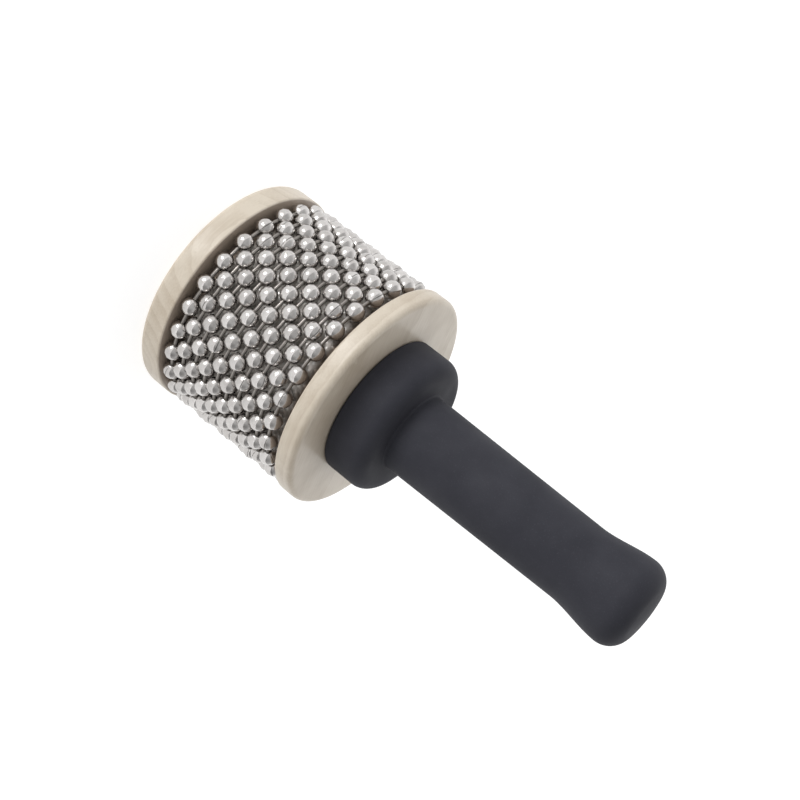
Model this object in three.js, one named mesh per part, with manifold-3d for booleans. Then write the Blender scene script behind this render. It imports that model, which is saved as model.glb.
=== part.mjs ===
// Cabasa: a short drum between two wooden discs, wrapped in loops of steel ball chain, on a moulded handle.
// Millimetres, +Z up. The origin is the centre of the far disc's flat outer face, on which the drum stands,
// and the handle rises along +Z.
import * as THREE from "three";
import { mergeVertices } from "three/addons/utils/BufferGeometryUtils.js";
import Module from "manifold-3d";

const wasm = await Module();
wasm.setup();

// ---- Driving dimensions ----
const FIT_GAP = 0.3; // clearance left between pieces that bear on each other

const DISC_RADIUS = 50;
const FAR_DISC_THICKNESS = 11;
const NEAR_DISC_THICKNESS = 8.5;
const DISC_OUTER_ROUND = 2.5; // round of the rim at the outer face
const DISC_INNER_ROUND = 0.8; // round of the rim at the face towards the loops
const DRUM_LENGTH = 85.3; // over both discs
const SPIGOT_DEPTH = 8;

const BEAD_DIAMETER = 8;
const LINK_DIAMETER = 2.4;
const BEADS_PER_LOOP = 26;
const LOOP_COUNT = 10;
const LOOP_PITCH = 6; // neighbouring loops nest with 0.18 mm between their beads
const FIRST_BEAD_ANGLE = 12; // degrees, for the odd-numbered loops

const TUBE_OUTER_RADIUS = 40.1;
const TUBE_WALL = 4.2;
const SHEET_THICKNESS = 0.5;
const SHEET_LAP_ANGLE = 12; // degrees that the rasp sheet overlaps itself at its seam
const SHEET_LAP_GAP = 0.1;

const COLLAR_RADIUS = 31.2;
const COLLAR_LENGTH = 18.8;
const COLLAR_CORNER = 6.3;
const COLLAR_FOOT_CHAMFER = 0.8;
const GRIP_START_RADIUS = 17.3;
const GRIP_END_RADIUS = 16.3;
const GRIP_END_HEIGHT = 188;
const FLARE_RADIUS = 18.9;
const FLARE_HEIGHT = 211;
const END_ROUND = 9.3; // radius of the edge round the handle's end
const END_DOME_ANGLE = 80; // degrees of that edge before the low dome takes over

const CORE_FLANGE_RADIUS = 26;
const CORE_FLANGE_THICKNESS = 10;
const CORE_STEM_RADIUS = 12.5;
const CORE_BORE_RADIUS = 8.2;
const CORE_TOP = 206;

const BOLT_DIAMETER = 8;
const BOLT_LENGTH = 120;
const BOLT_HEAD_HEIGHT = 5.3;
const BOLT_ACROSS_FLATS = 13;
const BOLT_HOLE_RADIUS = 4.5;
const BOLT_RECESS = 0.9; // how far the bolt head sits inside the far disc's face
const COUNTERBORE_RADIUS = 9.5;
const NUT_HEIGHT = 6.5;
const PLAIN_WASHER_RADIUS = 8;
const PLAIN_WASHER_THICKNESS = 1.6;
const SPRING_WASHER_RADIUS = 7.4;
const SPRING_WASHER_THICKNESS = 2;
const SPRING_WASHER_SLIT = 14; // degrees

const DOWEL_RADIUS = 3;
const DOWEL_LENGTH = 15;
const DOWEL_CIRCLE_RADIUS = 19;

const DISC_SIDES = 48;
const GRIP_SIDES = 36;
const SMALL_SIDES = 24;
const CHAIN_SIDES = 6;
const FLARE_STEPS = 6;

// ---- Sizes that follow ----
const TUBE_START = FAR_DISC_THICKNESS + FIT_GAP;
const TUBE_END = DRUM_LENGTH - NEAR_DISC_THICKNESS - FIT_GAP;
const TUBE_INNER_RADIUS = TUBE_OUTER_RADIUS - TUBE_WALL;
const SPIGOT_RADIUS = TUBE_INNER_RADIUS - FIT_GAP;
const SHEET_INNER_RADIUS = TUBE_OUTER_RADIUS + FIT_GAP;

const BEAD_RADIUS = BEAD_DIAMETER / 2;
const LOOP_RADIUS = DISC_RADIUS - BEAD_RADIUS;
const FIRST_LOOP_HEIGHT = (DRUM_LENGTH - (LOOP_COUNT - 1) * LOOP_PITCH) / 2;
const BEAD_ANGLE = 360 / BEADS_PER_LOOP;

const HANDLE_FOOT = DRUM_LENGTH + FIT_GAP;
const COLLAR_TOP = HANDLE_FOOT + COLLAR_LENGTH;
const CORE_FLANGE_TOP = HANDLE_FOOT + CORE_FLANGE_THICKNESS;

const SPRING_WASHER_START = BOLT_RECESS + BOLT_HEAD_HEIGHT + FIT_GAP;
const PLAIN_WASHER_START = SPRING_WASHER_START + SPRING_WASHER_THICKNESS + FIT_GAP;
const COUNTERBORE_DEPTH = PLAIN_WASHER_START + PLAIN_WASHER_THICKNESS + FIT_GAP;
const BOLT_END = BOLT_RECESS + BOLT_HEAD_HEIGHT + BOLT_LENGTH;
const BOLT_CHAMFER = 1;
const NUT_POCKET_START = COLLAR_TOP + 6;
const NUT_START = NUT_POCKET_START + FIT_GAP;
const DOWEL_START = DRUM_LENGTH + FIT_GAP / 2 - DOWEL_LENGTH / 2;

// ---- Finishes ----
function finish(colour, roughness, metalness) {
  return new THREE.MeshStandardMaterial({ color: colour, roughness, metalness });
}
const paleWood = () => finish(0xcfc0ad, 0.6, 0);
const drumBoard = () => finish(0xa98f6c, 0.8, 0);
const stainlessSheet = () => finish(0x9a9896, 0.4, 1);
const polishedSteel = () => finish(0xb9b6b2, 0.2, 1);
const zincPlate = () => finish(0xc2c4c6, 0.35, 1);
const softBlack = () => finish(0x36373b, 0.7, 0);
const stiffPlastic = () => finish(0x1d1e20, 0.5, 0);

// ---- Making shapes ----
const radians = THREE.MathUtils.degToRad;
const at = (radius, height) => new THREE.Vector2(radius, height);

// A solid of revolution about +Z, from points given as radius and height.
function turned(profile, sides) {
  const shape = new THREE.LatheGeometry(profile, sides);
  return shape.rotateX(Math.PI / 2);
}

// A flat outline carried up from one height to another.
function upright(outline, from, to) {
  const shape = new THREE.ExtrudeGeometry(outline, { depth: to - from, bevelEnabled: false });
  return shape.translate(0, 0, from);
}

// Points along a quarter turn about (radius, height), between two angles in degrees.
function corner(radius, height, round, fromAngle, toAngle, steps) {
  return Array.from({ length: steps + 1 }, (_, step) => {
    const angle = radians(fromAngle + ((toAngle - fromAngle) * step) / steps);
    return at(radius + round * Math.cos(angle), height + round * Math.sin(angle));
  });
}

// The closed solid that manifold-3d joins and cuts.
function solid(geometry) {
  const plain = geometry.clone();
  plain.deleteAttribute("normal");
  plain.deleteAttribute("uv");
  const merged = mergeVertices(plain, 1e-3);
  const vertProperties = merged.attributes.position.array;
  const triVerts = new Uint32Array(merged.index.array);
  return new wasm.Manifold(new wasm.Mesh({ numProp: 3, vertProperties, triVerts }));
}

// The geometry of a joined or cut solid.
function shapeOf(made) {
  const mesh = made.getMesh();
  const shape = new THREE.BufferGeometry();
  shape.setAttribute("position", new THREE.BufferAttribute(mesh.vertProperties, 3));
  shape.setIndex(new THREE.BufferAttribute(mesh.triVerts, 1));
  shape.computeVertexNormals();
  return shape;
}

function rod(radius, from, to, sides = SMALL_SIDES) {
  return turned([at(0, from), at(radius, from), at(radius, to), at(0, to)], sides);
}

function hexagon(acrossFlats) {
  const reach = acrossFlats / Math.sqrt(3);
  const corners = Array.from({ length: 6 }, (_, side) => {
    const angle = (side * Math.PI) / 3;
    return at(reach * Math.cos(angle), reach * Math.sin(angle));
  });
  return new THREE.Shape(corners);
}

const cabasa = new THREE.Group();

function place(name, geometry, material) {
  const mesh = new THREE.Mesh(geometry, material);
  mesh.name = name;
  cabasa.add(mesh);
  return mesh;
}

// ---- The drum ----
// A disc lying with its outer face at height 0 and its spigot upwards.
function discProfile(thickness) {
  const innerHeight = thickness - DISC_INNER_ROUND;
  return [
    ...corner(DISC_RADIUS - DISC_OUTER_ROUND, DISC_OUTER_ROUND, DISC_OUTER_ROUND, -90, 0, 3),
    ...corner(DISC_RADIUS - DISC_INNER_ROUND, innerHeight, DISC_INNER_ROUND, 0, 90, 3),
    at(SPIGOT_RADIUS, thickness),
    at(SPIGOT_RADIUS, thickness + SPIGOT_DEPTH),
    at(BOLT_HOLE_RADIUS, thickness + SPIGOT_DEPTH),
  ];
}

function farDisc() {
  const counterbore = [
    at(BOLT_HOLE_RADIUS, COUNTERBORE_DEPTH),
    at(COUNTERBORE_RADIUS, COUNTERBORE_DEPTH),
    at(COUNTERBORE_RADIUS, 0),
  ];
  const outline = [...discProfile(FAR_DISC_THICKNESS), ...counterbore];
  place("far_end_disc", turned([...outline, outline[0]], DISC_SIDES), paleWood());
}

function nearDisc() {
  const outline = [...discProfile(NEAR_DISC_THICKNESS), at(BOLT_HOLE_RADIUS, 0)];
  const blank = turned([...outline, outline[0]], DISC_SIDES);
  blank.rotateX(Math.PI).translate(0, 0, DRUM_LENGTH);
  let drilled = solid(blank);
  for (const side of [-1, 1]) {
    const hole = rod(DOWEL_RADIUS + FIT_GAP, DOWEL_START - FIT_GAP, DRUM_LENGTH + 1);
    drilled = drilled.subtract(solid(hole.translate(side * DOWEL_CIRCLE_RADIUS, 0, 0)));
  }
  place("near_end_disc", shapeOf(drilled), paleWood());
}

function drumTube() {
  const outline = [
    at(TUBE_INNER_RADIUS, TUBE_START),
    at(TUBE_OUTER_RADIUS, TUBE_START),
    at(TUBE_OUTER_RADIUS, TUBE_END),
    at(TUBE_INNER_RADIUS, TUBE_END),
  ];
  place("drum_tube", turned([...outline, outline[0]], DISC_SIDES), drumBoard());
}

// The rasp sheet is one strip wrapped round the tube. It climbs over its own start, where it is spot-welded.
function raspSheet() {
  const climb = SHEET_THICKNESS + SHEET_LAP_GAP;
  const outline = new THREE.Shape();
  const edge = (angle, extra) => {
    const rise = THREE.MathUtils.smoothstep(angle, 360 - SHEET_LAP_ANGLE, 360) * climb;
    const radius = SHEET_INNER_RADIUS + extra + rise;
    return at(radius * Math.cos(radians(angle)), radius * Math.sin(radians(angle)));
  };
  const step = 360 / (2 * DISC_SIDES);
  const stations = Math.round((360 + SHEET_LAP_ANGLE) / step);
  const angles = Array.from({ length: stations + 1 }, (_, index) => index * step);
  const inner = angles.map((angle) => edge(angle, 0));
  const outer = angles.map((angle) => edge(angle, SHEET_THICKNESS));
  outline.setFromPoints([...outer, ...inner.reverse()]);
  place("rasp_sheet", upright(outline, TUBE_START, TUBE_END), stainlessSheet());
}

// A loop of ball chain: a ring that swells to a bead and narrows to a link, turn about.
function chainRing() {
  const stations = 2 * BEADS_PER_LOOP;
  const ring = new THREE.TorusGeometry(LOOP_RADIUS, BEAD_RADIUS, CHAIN_SIDES, stations);
  const places = ring.attributes.position;
  const point = new THREE.Vector3();
  const centre = new THREE.Vector3();
  for (let index = 0; index < places.count; index += 1) {
    const station = index % (stations + 1);
    if (station % 2 === 0) continue;
    point.fromBufferAttribute(places, index);
    centre.set(point.x, point.y, 0).setLength(LOOP_RADIUS);
    point.sub(centre).multiplyScalar(LINK_DIAMETER / BEAD_DIAMETER).add(centre);
    places.setXYZ(index, point.x, point.y, point.z);
  }
  return ring;
}

// Neighbouring loops are turned by half a bead, so that their beads nest.
function beadLoops() {
  for (let number = 1; number <= LOOP_COUNT; number += 1) {
    const name = "bead_loop_" + String(number).padStart(2, "0");
    const loop = place(name, chainRing(), polishedSteel());
    const stagger = number % 2 === 0 ? BEAD_ANGLE / 2 : 0;
    loop.position.z = FIRST_LOOP_HEIGHT + (number - 1) * LOOP_PITCH;
    loop.rotation.z = radians(FIRST_BEAD_ANGLE + stagger);
  }
}

// ---- The handle ----
// The low dome that closes the handle's end: part of a sphere about the axis, which leaves the rounded
// edge without a crease.
function endDome() {
  const lean = 90 - END_DOME_ANGLE;
  const start = at(END_ROUND, 0).rotateAround(at(0, 0), radians(END_DOME_ANGLE));
  const startRadius = FLARE_RADIUS - END_ROUND + start.x;
  const sphere = startRadius / Math.sin(radians(lean));
  const centre = FLARE_HEIGHT + start.y - sphere * Math.cos(radians(lean));
  return corner(0, centre, sphere, END_DOME_ANGLE, 90, 3).slice(1, -1).concat(at(0, centre + sphere));
}

// The outside of the soft cover, from the foot of the collar up to the middle of the domed end. The grip
// tapers evenly, then swells to the flare by the smooth step 3t^2 - 2t^3.
function coverOutside() {
  const cornerHeight = COLLAR_TOP - COLLAR_CORNER;
  const edgeRadius = FLARE_RADIUS - END_ROUND;
  const swell = Array.from({ length: FLARE_STEPS + 1 }, (_, step) => {
    const height = GRIP_END_HEIGHT + ((FLARE_HEIGHT - GRIP_END_HEIGHT) * step) / FLARE_STEPS;
    const part = THREE.MathUtils.smoothstep(height, GRIP_END_HEIGHT, FLARE_HEIGHT);
    return at(GRIP_END_RADIUS + (FLARE_RADIUS - GRIP_END_RADIUS) * part, height);
  });
  return [
    at(COLLAR_RADIUS - COLLAR_FOOT_CHAMFER, HANDLE_FOOT),
    at(COLLAR_RADIUS, HANDLE_FOOT + COLLAR_FOOT_CHAMFER),
    ...corner(COLLAR_RADIUS - COLLAR_CORNER, cornerHeight, COLLAR_CORNER, 0, 90, 4),
    at(GRIP_START_RADIUS, COLLAR_TOP),
    ...swell,
    ...corner(edgeRadius, FLARE_HEIGHT, END_ROUND, 0, END_DOME_ANGLE, 5).slice(1),
    ...endDome(),
  ];
}

// The hollow of the cover, which the stiff core fills, from the top down to the foot.
function coverInside() {
  return [
    at(0, CORE_TOP + FIT_GAP),
    at(CORE_STEM_RADIUS + FIT_GAP, CORE_TOP + FIT_GAP),
    at(CORE_STEM_RADIUS + FIT_GAP, CORE_FLANGE_TOP + FIT_GAP),
    at(CORE_FLANGE_RADIUS + FIT_GAP, CORE_FLANGE_TOP + FIT_GAP),
    at(CORE_FLANGE_RADIUS + FIT_GAP, HANDLE_FOOT),
  ];
}

function handleCover() {
  const cover = turned([...coverInside(), ...coverOutside()], GRIP_SIDES);
  place("handle_cover", cover, softBlack());
}

function handleCore() {
  const outline = [
    at(BOLT_HOLE_RADIUS, HANDLE_FOOT),
    at(CORE_FLANGE_RADIUS, HANDLE_FOOT),
    at(CORE_FLANGE_RADIUS, CORE_FLANGE_TOP),
    at(CORE_STEM_RADIUS, CORE_FLANGE_TOP),
    at(CORE_STEM_RADIUS, CORE_TOP),
    at(CORE_BORE_RADIUS, CORE_TOP),
    at(CORE_BORE_RADIUS, NUT_POCKET_START + NUT_HEIGHT + 2 * FIT_GAP),
    at(BOLT_HOLE_RADIUS, NUT_POCKET_START + NUT_HEIGHT + 2 * FIT_GAP),
  ];
  let core = solid(turned([...outline, outline[0]], GRIP_SIDES));
  const pocketTop = NUT_POCKET_START + NUT_HEIGHT + 1;
  const pocket = upright(hexagon(BOLT_ACROSS_FLATS + 2 * FIT_GAP), NUT_POCKET_START, pocketTop);
  core = core.subtract(solid(pocket));
  for (const side of [-1, 1]) {
    const top = DOWEL_START + DOWEL_LENGTH + FIT_GAP;
    const hole = rod(DOWEL_RADIUS + FIT_GAP, HANDLE_FOOT - 1, top);
    core = core.subtract(solid(hole.translate(side * DOWEL_CIRCLE_RADIUS, 0, 0)));
  }
  place("handle_core", shapeOf(core), stiffPlastic());
}

// ---- Fasteners ----
function throughBolt() {
  const underHead = BOLT_RECESS + BOLT_HEAD_HEIGHT;
  const radius = BOLT_DIAMETER / 2;
  const head = upright(hexagon(BOLT_ACROSS_FLATS), BOLT_RECESS, underHead);
  const shank = turned(
    [
      at(0, underHead - 1),
      at(radius, underHead - 1),
      at(radius, BOLT_END - BOLT_CHAMFER),
      at(radius - BOLT_CHAMFER, BOLT_END),
      at(0, BOLT_END),
    ],
    SMALL_SIDES,
  );
  place("through_bolt", shapeOf(solid(head).add(solid(shank))), zincPlate());
}

function ringOutline(outerRadius, innerRadius) {
  const outline = new THREE.Shape();
  outline.absarc(0, 0, outerRadius, 0, 2 * Math.PI);
  outline.holes.push(new THREE.Path().absarc(0, 0, innerRadius, 0, 2 * Math.PI, true));
  return outline;
}

function washersAndNut() {
  const boltClearance = BOLT_DIAMETER / 2 + FIT_GAP;
  const flat = upright(
    ringOutline(PLAIN_WASHER_RADIUS, boltClearance),
    PLAIN_WASHER_START,
    PLAIN_WASHER_START + PLAIN_WASHER_THICKNESS,
  );
  place("plain_washer", flat, zincPlate());

  const split = new THREE.Shape();
  const slit = radians(SPRING_WASHER_SLIT);
  split.absarc(0, 0, SPRING_WASHER_RADIUS, slit / 2, 2 * Math.PI - slit / 2);
  split.absarc(0, 0, boltClearance, 2 * Math.PI - slit / 2, slit / 2, true);
  const spring = upright(split, SPRING_WASHER_START, SPRING_WASHER_START + SPRING_WASHER_THICKNESS);
  place("spring_washer", spring, zincPlate());

  const nutOutline = hexagon(BOLT_ACROSS_FLATS);
  nutOutline.holes.push(new THREE.Path().absarc(0, 0, boltClearance, 0, 2 * Math.PI, true));
  place("captive_nut", upright(nutOutline, NUT_START, NUT_START + NUT_HEIGHT), zincPlate());
}

function dowelPins() {
  for (const [number, side] of [[1, -1], [2, 1]]) {
    const pin = rod(DOWEL_RADIUS, DOWEL_START, DOWEL_START + DOWEL_LENGTH);
    place("dowel_pin_" + number, pin.translate(side * DOWEL_CIRCLE_RADIUS, 0, 0), zincPlate());
  }
}

farDisc();
nearDisc();
drumTube();
raspSheet();
beadLoops();
handleCover();
handleCore();
throughBolt();
washersAndNut();
dowelPins();

export default cabasa;
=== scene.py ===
"""The looks of a cabasa: a hand-held drum with loops of ball chain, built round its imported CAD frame.

The drum stands on its far disc and the handle rises along +Z. Sizes are in millimetres, as in the
CAD model, and become metres where a mesh or a material is made.
"""
import logging
import math
from dataclasses import dataclass
from enum import Enum
from typing import Optional, Sequence, Union

import bmesh
import bpy
import numpy as np
from mathutils import Euler, Matrix, Vector


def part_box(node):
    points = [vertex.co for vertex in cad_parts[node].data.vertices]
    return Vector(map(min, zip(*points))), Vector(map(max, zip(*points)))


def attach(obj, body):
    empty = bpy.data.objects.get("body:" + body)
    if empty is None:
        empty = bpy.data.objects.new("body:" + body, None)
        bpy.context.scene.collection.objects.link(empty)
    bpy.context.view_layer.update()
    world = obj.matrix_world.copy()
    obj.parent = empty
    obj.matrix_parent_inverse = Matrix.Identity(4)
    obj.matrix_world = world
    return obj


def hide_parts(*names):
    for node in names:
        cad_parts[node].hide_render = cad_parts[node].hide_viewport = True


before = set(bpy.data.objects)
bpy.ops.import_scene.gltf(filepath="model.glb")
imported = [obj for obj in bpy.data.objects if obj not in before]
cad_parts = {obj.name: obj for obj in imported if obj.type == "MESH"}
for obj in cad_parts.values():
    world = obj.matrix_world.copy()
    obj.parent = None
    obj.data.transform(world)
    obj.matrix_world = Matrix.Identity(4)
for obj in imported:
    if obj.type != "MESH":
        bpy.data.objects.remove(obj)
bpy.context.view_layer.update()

MM = 0.001
FIT_GAP = 0.3  # clearance between pieces that bear on each other
HANDLE_BODY = "drum_and_handle"
LOOP_COUNT = 10
BEADS_PER_LOOP = 26
TUBE_WALL = 4.2
CORE_STEM = 12.5
CORE_FLANGE = 10.0
SEED = 20
SHARP_ANGLE = math.radians(38)

log = logging.getLogger("cabasa")
Socket = bpy.types.NodeSocket
Input = Union[float, Sequence[float], Socket]


# ---- Places in the frame ----


@dataclass(frozen=True)
class Span:
    """How far a CAD node reaches: radius from the axis, lowest and highest point, in millimetres."""

    radius: float
    bottom: float
    top: float

    @classmethod
    def of(cls, node: str) -> "Span":
        """Measures one CAD node.

        Args:
            node: The node's name.

        Returns:
            Its reach from the axis and along it.
        """
        low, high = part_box(node)
        return cls(max(high.x, high.y) / MM, low.z / MM, high.z / MM)


# ---- Surfaces ----


class Profile:
    """A line of radius and height, drawn from straight and round stretches.

    A straight stretch gets an extra point close to each end, so that smooth shading stays flat
    between them.
    """

    HEM = 0.25

    def __init__(self, radius: float, height: float) -> None:
        """Starts the line.

        Args:
            radius: Distance from the axis.
            height: Place along the axis.
        """
        self.stretches = [np.array([[radius, height]], float)]

    @property
    def end(self) -> np.ndarray:
        """The last point drawn."""
        return self.stretches[-1][-1]

    def line(self, radius: float, height: float, parts: int = 1) -> "Profile":
        """Adds a straight stretch, divided evenly between its two hem points.

        Args:
            radius: Radius of its far end.
            height: Height of its far end.
            parts: How many parts lie between the hem points.

        Returns:
            This profile.
        """
        start, stop = self.end, np.array([radius, height], float)
        length = float(np.linalg.norm(stop - start))
        hem = min(self.HEM / max(length, 1e-6), 0.3)
        share = np.concatenate([np.linspace(hem, 1 - hem, parts + 1), [1.0]])
        self.stretches.append(start + share[:, None] * (stop - start))
        return self

    def arc(
        self, radius: float, height: float, size: float, start: float, stop: float, parts: int
    ) -> "Profile":
        """Adds a round stretch about a centre.

        Args:
            radius: Radius of the centre.
            height: Height of the centre.
            size: Radius of the arc itself.
            start: First angle in degrees, from the outward direction towards +Z.
            stop: Last angle in degrees.
            parts: How many chords make the arc.

        Returns:
            This profile.
        """
        angle = np.radians(np.linspace(start, stop, parts + 1))
        points = np.stack([radius + size * np.cos(angle), height + size * np.sin(angle)], 1)
        fresh = points if np.linalg.norm(points[0] - self.end) > 1e-6 else points[1:]
        self.stretches.append(fresh)
        return self

    def curve(self, points: np.ndarray) -> "Profile":
        """Adds points worked out elsewhere, and returns this profile."""
        self.stretches.append(np.asarray(points, float))
        return self

    def array(self) -> np.ndarray:
        """All points as rows of radius and height."""
        return np.concatenate(self.stretches)


def around(sides: int) -> np.ndarray:
    """Angles of evenly spaced sides once round the axis, in radians."""
    return np.arange(sides) * (2 * np.pi / sides)


def revolve(profile: np.ndarray, sides: int) -> np.ndarray:
    """Turns a profile about +Z: the point at angle t is (r cos t, r sin t, z).

    Args:
        profile: Rows of radius and height.
        sides: How many columns the grid has.

    Returns:
        A grid of points, one row for each profile point.
    """
    angle = around(sides)[None, :]
    radius, height = profile[:, :1], profile[:, 1:]
    return np.stack([radius * np.cos(angle), radius * np.sin(angle), height + 0 * angle], -1)


def hexagon_reach(angle: np.ndarray, across_flats: float) -> np.ndarray:
    """Distance from the axis to a hexagon's side at each angle: half the flats over cos(t) of its side."""
    side = np.pi / 3
    return across_flats / 2 / np.cos((angle % side) - side / 2)


def grid_faces(rows: int, columns: int, wrap_rows: bool, wrap_columns: bool = True) -> list[list[int]]:
    """The quads between neighbouring rows and columns of a grid of points.

    Args:
        rows: Number of rows of points.
        columns: Number of columns of points.
        wrap_rows: Whether the last row joins the first.
        wrap_columns: Whether the last column joins the first.

    Returns:
        Four corner numbers for each quad.
    """
    row = np.arange(rows if wrap_rows else rows - 1)[:, None]
    column = np.arange(columns if wrap_columns else columns - 1)[None, :]
    above, beside = (row + 1) % rows, (column + 1) % columns
    here, there = row * columns, above * columns
    corners = [here + column, here + beside, there + beside, there + column]
    return np.stack(corners, -1).reshape(-1, 4).tolist()


def new_mesh(name: str, points: np.ndarray, faces: list[list[int]]) -> bpy.types.Mesh:
    """Makes a closed, outward-facing, smooth-shaded mesh from points in millimetres.

    Args:
        name: The mesh's name.
        points: Points in any grid shape, three numbers each.
        faces: Corner numbers of each face.

    Returns:
        The mesh, in metres, with coincident points merged and its creases sharp.
    """
    mesh = bare_mesh(name, points, faces)
    turn_outwards(mesh, merge=True)
    smooth(mesh)
    return mesh


def bare_mesh(name: str, points: np.ndarray, faces: list[list[int]]) -> bpy.types.Mesh:
    """Makes a mesh as it is given, with nothing merged, turned or smoothed.

    Args:
        name: The mesh's name.
        points: Its points, in millimetres.
        faces: The numbers of the points at each face's corners.

    Returns:
        The mesh, in metres, with its points and faces in the order given.
    """
    mesh = bpy.data.meshes.new(name)
    mesh.from_pydata((points.reshape(-1, 3) * MM).tolist(), [], faces)
    return mesh


def store(mesh: bpy.types.Mesh, name: str, values: np.ndarray) -> None:
    """Stores one number at each point of a mesh, under a name that a material can read."""
    mesh.attributes.new(name, "FLOAT", "POINT").data.foreach_set("value", values.astype(np.float32).ravel())


def turn_outwards(mesh: bpy.types.Mesh, merge: bool = False) -> None:
    """Turns every face of a closed mesh outwards.

    Args:
        mesh: The mesh.
        merge: Whether coincident points are merged first.
    """
    tidy = bmesh.new()
    tidy.from_mesh(mesh)
    if merge:
        bmesh.ops.remove_doubles(tidy, verts=tidy.verts, dist=1e-6)
    bmesh.ops.recalc_face_normals(tidy, faces=tidy.faces)
    tidy.to_mesh(mesh)
    tidy.free()


def smooth(mesh: bpy.types.Mesh) -> None:
    """Shades a mesh smooth, except across creases.

    Args:
        mesh: The mesh to shade.
    """
    mesh.polygons.foreach_set("use_smooth", np.ones(len(mesh.polygons), bool))
    mesh.set_sharp_from_angle(angle=SHARP_ANGLE)
    mesh.update()


# ---- Material graphs ----


class Graph:
    """One material's node tree, built a node at a time on Object coordinates."""

    def __init__(self, name: str) -> None:
        """Starts a material with a shader and Object coordinates.

        Args:
            name: The material's name.
        """
        self.material = bpy.data.materials.new(name)
        self.material.use_nodes = True
        self.tree = self.material.node_tree
        self.tree.nodes.clear()
        self.output = self.tree.nodes.new("ShaderNodeOutputMaterial")
        self.shader = self.tree.nodes.new("ShaderNodeBsdfPrincipled")
        self.tree.links.new(self.shader.outputs["BSDF"], self.output.inputs["Surface"])
        self.place = self.tree.nodes.new("ShaderNodeTexCoord").outputs["Object"]

    def put(self, socket: Socket, value: Input) -> None:
        """Links a socket to another, or sets it to a constant.

        Args:
            socket: The input socket to fill.
            value: A socket, a number, or a few numbers.
        """
        if isinstance(value, Socket):
            self.tree.links.new(value, socket)
        elif isinstance(value, (int, float)):
            socket.default_value = float(value)
        else:
            wanted = len(socket.default_value)
            socket.default_value = (tuple(value) + (1.0,))[:wanted]

    def node(self, kind: str, inputs: dict[Union[str, int], Input], **settings: object) -> bpy.types.Node:
        """Adds a node.

        Args:
            kind: Blender's name for the node type, without its ShaderNode prefix.
            inputs: Values or sockets for its inputs, by name or number.
            **settings: Properties of the node itself.

        Returns:
            The new node.
        """
        made = self.tree.nodes.new("ShaderNode" + kind)
        for key, value in settings.items():
            setattr(made, key, value)
        for key, value in inputs.items():
            self.put(made.inputs[key], value)
        return made

    def mapped(
        self, scale: Sequence[float], turn: float = 0.0, shift: Sequence[float] = (0, 0, 0)
    ) -> Socket:
        """Object coordinates, shifted, turned about Z by degrees and scaled.

        Args:
            scale: Scale along each axis, in cycles per metre.
            turn: Degrees about Z.
            shift: Metres along each axis.

        Returns:
            The mapped vector.
        """
        rotation = (0, 0, math.radians(turn))
        moved = self.node("Mapping", {"Vector": self.place, "Location": shift, "Rotation": rotation})
        return self.node("Mapping", {"Vector": moved.outputs[0], "Scale": scale}).outputs[0]

    def noise(self, vector: Socket, scale: float, detail: float = 3, rough: float = 0.5) -> Socket:
        """Fractal noise from 0 to 1.

        Args:
            vector: Where it is read.
            scale: Cycles per unit of the vector.
            detail: Octaves.
            rough: Strength of each octave against the one before.

        Returns:
            Its value.
        """
        inputs = {"Vector": vector, "Scale": scale, "Detail": detail, "Roughness": rough}
        return self.node("TexNoise", inputs).outputs[0]

    def spread(
        self, value: Input, low: float, high: float, to_low: float = 0.0, to_high: float = 1.0
    ) -> Socket:
        """A value carried from one range to another, and held at its ends.

        Args:
            value: What to carry.
            low: Start of its range.
            high: End of its range.
            to_low: What the start becomes.
            to_high: What the end becomes.

        Returns:
            The carried value.
        """
        numbers = {"Value": value, "From Min": low, "From Max": high, "To Min": to_low, "To Max": to_high}
        return self.node("MapRange", numbers).outputs[0]

    def math(self, operation: str, first: Input, second: Input = 0.0) -> Socket:
        """The result of a Math node's operation on one value or two."""
        return self.node("Math", {0: first, 1: second}, operation=operation).outputs[0]

    def mix(self, share: Input, first: Input, second: Input, way: str = "MIX") -> Socket:
        """Two colours blended by a share.

        Args:
            share: How much of the second shows.
            first: The colour at share 0.
            second: The colour at share 1.
            way: The blend type.

        Returns:
            The blended colour.
        """
        made = self.node("Mix", {0: share, 6: first, 7: second}, data_type="RGBA", blend_type=way)
        return made.outputs[2]

    def bump(
        self, height: Socket, depth: float, strength: float = 1.0, under: Optional[Socket] = None
    ) -> Socket:
        """A normal that follows a height from 0 to 1.

        Args:
            height: The height.
            depth: How deep 1 is, in millimetres.
            strength: How much of it shows.
            under: A normal that this one builds on.

        Returns:
            The normal.
        """
        inputs: dict = {"Height": height, "Distance": depth * MM, "Strength": strength}
        if under is not None:
            inputs["Normal"] = under
        return self.node("Bump", inputs).outputs[0]

    def dress(self, **sockets: Input) -> bpy.types.Material:
        """Fills the shader's sockets, named with underscores for spaces.

        Args:
            **sockets: Values or sockets by name.

        Returns:
            The finished material.
        """
        for key, value in sockets.items():
            self.put(self.shader.inputs[key.replace("_", " ")], value)
        return self.material


# ---- Finishes ----


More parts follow.
